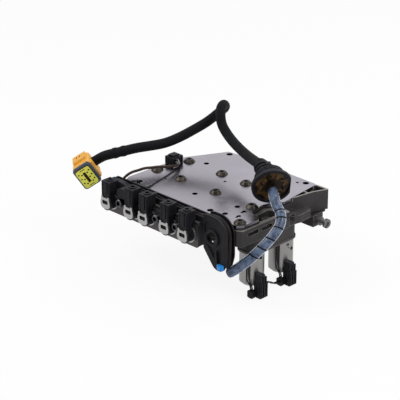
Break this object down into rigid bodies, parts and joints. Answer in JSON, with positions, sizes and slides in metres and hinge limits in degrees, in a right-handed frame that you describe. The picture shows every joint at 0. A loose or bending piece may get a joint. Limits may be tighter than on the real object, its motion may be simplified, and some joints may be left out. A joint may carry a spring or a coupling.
{
  "type": "transmission valve body",
  "caption": "Automatic gearbox valve body with a bank of shift solenoids, two pressure solenoids, cover plate, wall connector and wiring loom",
  "frame": {"origin": "midway between the two back case-bolt holes, on the top face of the cover plate", "axes": "+Z out of the cover plate along the case bolts; +X along the row of shift solenoids, the longest way; +Y from the solenoids to the back bolts"},
  "size_m": [0.2678, 0.1649, 0.1553],
  "materials": {
    "plate_steel": "bright rolled steel with a faint lilac cast",
    "gasket": "black bead gasket",
    "casting": "dark as-cast aluminium with machined edges",
    "bare_steel": "stamped steel",
    "bolt_steel": "dark olive phosphate",
    "seal_rubber": "black seal rubber",
    "black_plastic": "black moulded nylon",
    "blue_plastic": "bright blue clip",
    "wire": "thin insulated wire",
    "brown_wire": "brown insulated wire",
    "potting": "amber potting resin",
    "blue_wrap": "slate blue loom in clear spiral wrap",
    "conduit": "black heat-shrunk conduit",
    "orange_plastic": "orange connector housing",
    "slate_rubber": "slate seal band",
    "yellow_plastic": "greenish yellow terminal block",
    "solenoid_steel": "drawn steel",
    "spool_metal": "hard anodised spool",
    "spring_steel": "spring wire",
    "ball_rubber": "moulded check ball"
  },
  "bodies": {
    "valve_block": {"top_plate": "plate_steel", "upper_gasket": "gasket", "upper_body": "casting", "separator_plate": "bare_steel", "lower_body": "casting", "cover_bolts": "bolt_steel", "retaining_plate": "bare_steel", "retaining_screws": "bolt_steel", "nose_seals": "seal_rubber", "harness_channel": "black_plastic", "harness_bracket": "black_plastic", "blue_clip": "blue_plastic", "clamp_plate": "bare_steel", "clamp_screws": "bolt_steel", "link_leads": "wire", "rear_connector": "black_plastic", "sensor_leads": "brown_wire", "pass_housing": "black_plastic", "pass_potting": "potting", "pass_seal": "seal_rubber", "pass_backshell": "black_plastic", "spiral_harness": "blue_wrap", "outer_conduit": "conduit", "row_wires": "wire", "plug_housing": "orange_plastic", "plug_seal": "slate_rubber", "plug_insert": "yellow_plastic", "plug_cover": "orange_plastic", "check_balls": "ball_rubber", "solenoid_valve_1": "solenoid_steel", "solenoid_coil_1": "black_plastic", "row_connector_1": "black_plastic", "solenoid_valve_2": "solenoid_steel", "solenoid_coil_2": "black_plastic", "row_connector_2": "black_plastic", "solenoid_valve_3": "solenoid_steel", "solenoid_coil_3": "black_plastic", "row_connector_3": "black_plastic", "solenoid_valve_4": "solenoid_steel", "solenoid_coil_4": "black_plastic", "row_connector_4": "black_plastic", "solenoid_valve_5": "solenoid_steel", "solenoid_coil_5": "black_plastic", "row_connector_5": "black_plastic", "pressure_solenoid_1": "solenoid_steel", "pressure_connector_1": "black_plastic", "pressure_leads_1": "wire", "pressure_solenoid_2": "solenoid_steel", "pressure_connector_2": "black_plastic", "pressure_leads_2": "wire", "pressure_regulator_spring": "spring_steel", "pressure_regulator_plug": "bare_steel", "shift_valve_spring": "spring_steel", "shift_valve_plug": "bare_steel"},
    "manual_valve": {"manual_valve": "spool_metal"},
    "pressure_regulator": {"pressure_regulator_spool": "spool_metal"},
    "shift_valve": {"shift_valve_spool": "spool_metal"}
  },
  "joints": [
    {"name": "manual_valve_slide", "type": "slide", "parent": "valve_block", "child": "manual_valve", "axis": [1, 0, 0], "range_m": [-0.009, 0.007]},
    {"name": "pressure_regulator_slide", "type": "slide", "parent": "valve_block", "child": "pressure_regulator", "axis": [-1, 0, 0], "range_m": [0, 0.004], "stiffness_N_per_m": 900, "springref_m": -0.006, "deforming": ["pressure_regulator_spring"]},
    {"name": "shift_valve_slide", "type": "slide", "parent": "valve_block", "child": "shift_valve", "axis": [-1, 0, 0], "range_m": [0, 0.004], "stiffness_N_per_m": 900, "springref_m": -0.006, "deforming": ["shift_valve_spring"]}
  ]
}
